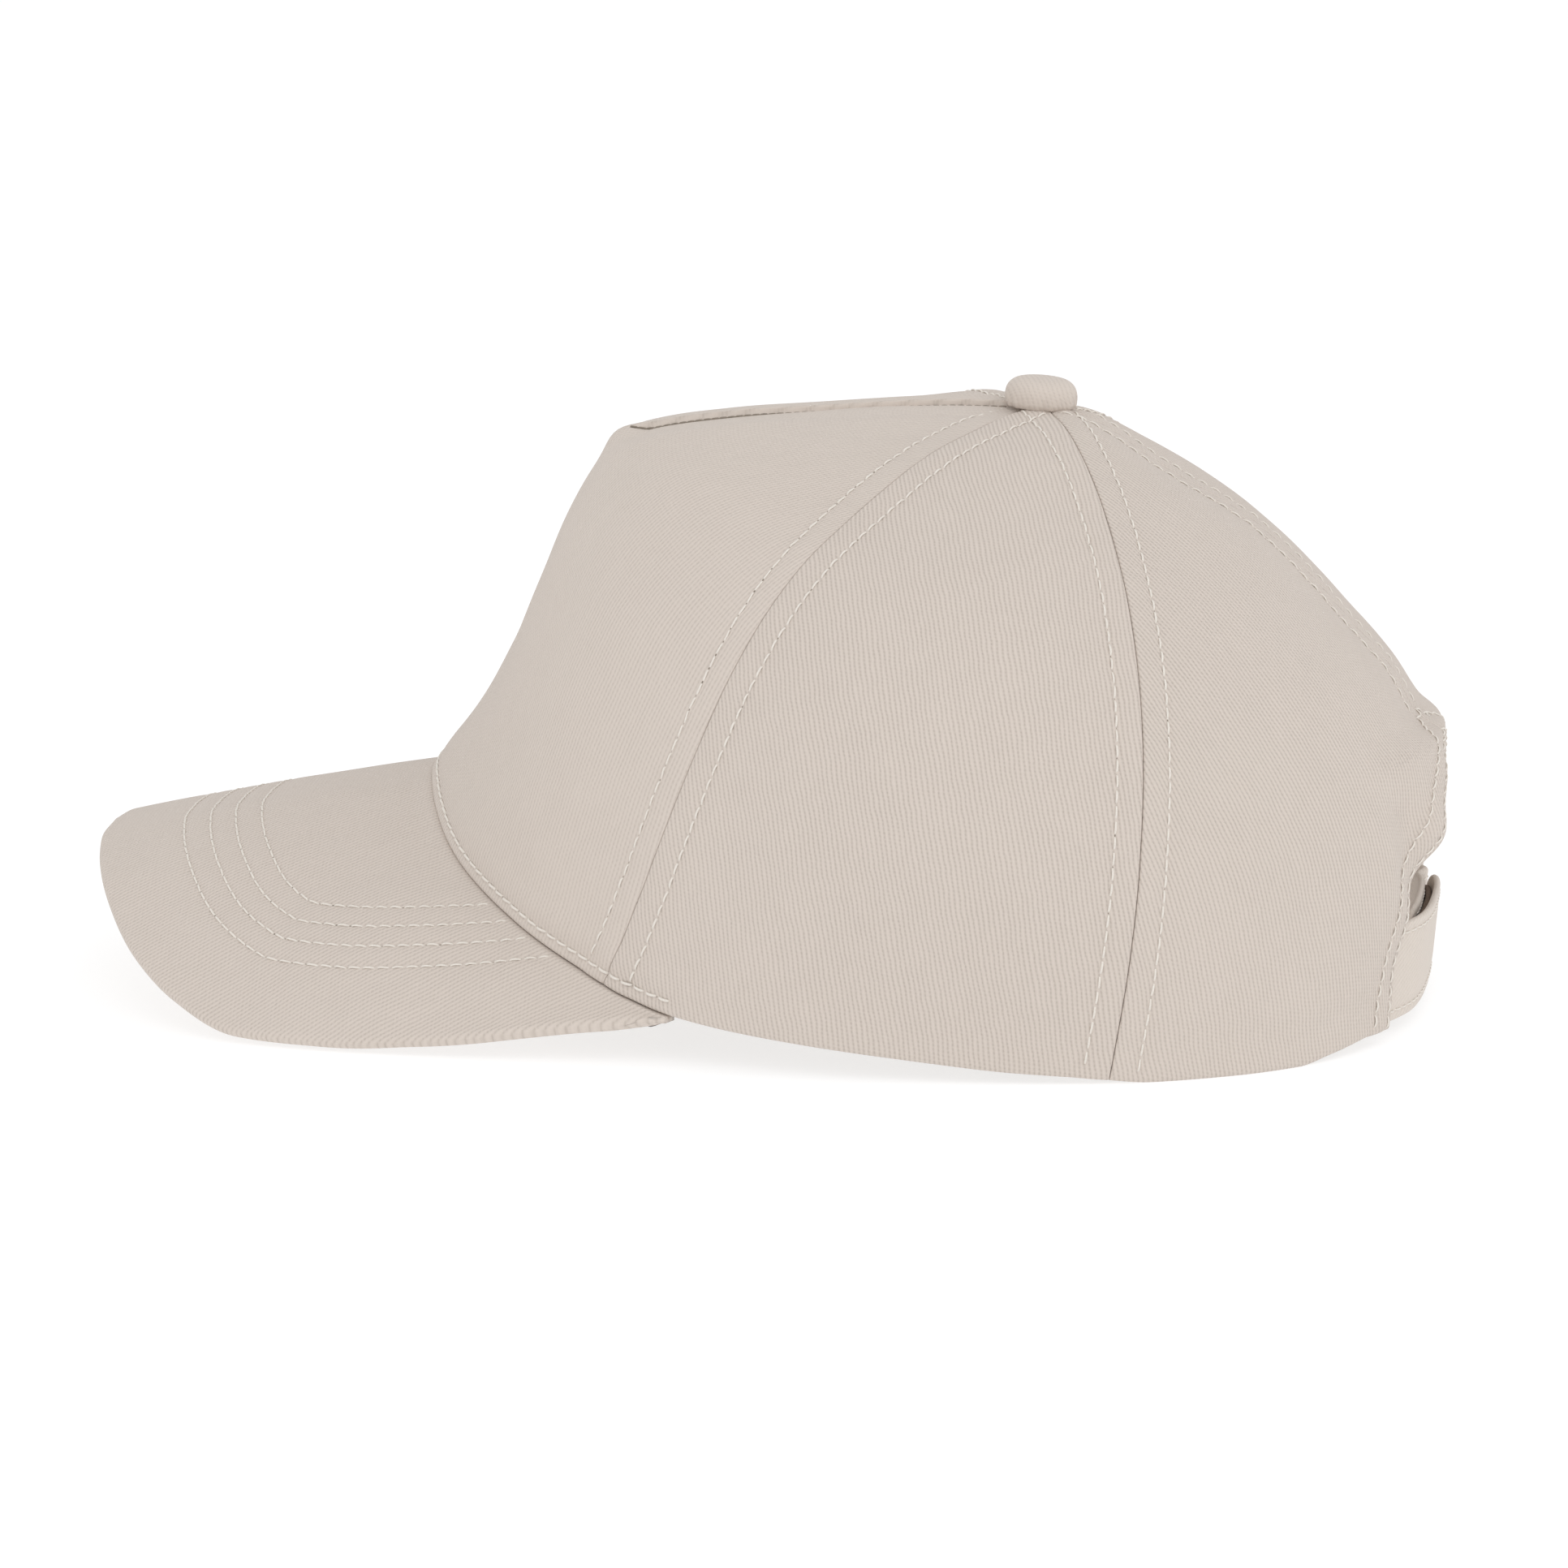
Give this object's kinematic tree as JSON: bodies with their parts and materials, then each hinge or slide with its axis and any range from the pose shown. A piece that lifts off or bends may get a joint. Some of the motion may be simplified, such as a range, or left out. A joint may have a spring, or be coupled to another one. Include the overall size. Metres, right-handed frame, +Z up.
{
  "type": "five panel cap",
  "caption": "Soft cloth cap with a curved peak, a wide front panel with a centre dart, a covered button and a strap across the back opening.",
  "frame": {"origin": "middle of the cap's length and width, on the surface that it stands on", "axes": "-X towards the peak's tip, +X towards the back strap, -Y the wearer's left, +Z up"},
  "size_m": [0.2642, 0.1684, 0.1233],
  "materials": {
    "twill": "matte",
    "lining": "matte",
    "thread": "matte",
    "closure": "matte"
  },
  "bodies": {
    "root": {"front_panel": "twill", "side_panel_left": "twill", "side_panel_right": "twill", "back_panel_left": "twill", "back_panel_right": "twill", "peak": "twill", "button": "twill", "sweatband": "lining", "strap_left": "twill", "strap_right": "twill", "closure_patch": "closure"}
  },
  "joints": []
}
